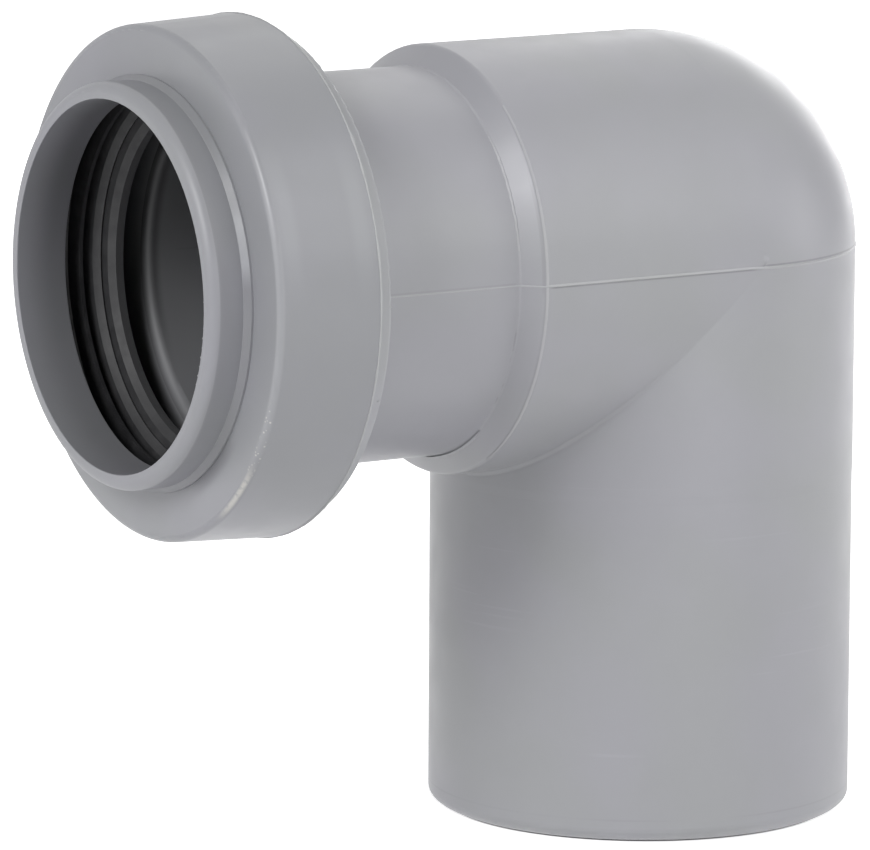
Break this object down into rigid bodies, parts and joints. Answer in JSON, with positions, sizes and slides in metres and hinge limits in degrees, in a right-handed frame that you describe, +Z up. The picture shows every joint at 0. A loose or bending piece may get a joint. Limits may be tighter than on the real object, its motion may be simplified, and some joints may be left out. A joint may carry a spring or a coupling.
{
  "type": "reducing drain elbow",
  "caption": "Right-angle plastic waste elbow that steps a larger spigot down to a push-fit socket with a rubber lip seal behind a welded collar.",
  "frame": {"origin": "centre of the spigot's lower end face, on the spigot's axis", "axes": "+Z up along the spigot towards the bend, -X out of the socket's mouth, Y across"},
  "size_m": [0.0974, 0.06, 0.0972],
  "materials": {
    "grey_plastic": "satin moulded polypropylene",
    "black_rubber": "dull moulded rubber"
  },
  "bodies": {
    "root": {"elbow_body": "grey_plastic", "retaining_cap": "grey_plastic", "lip_seal": "black_rubber"}
  },
  "joints": []
}
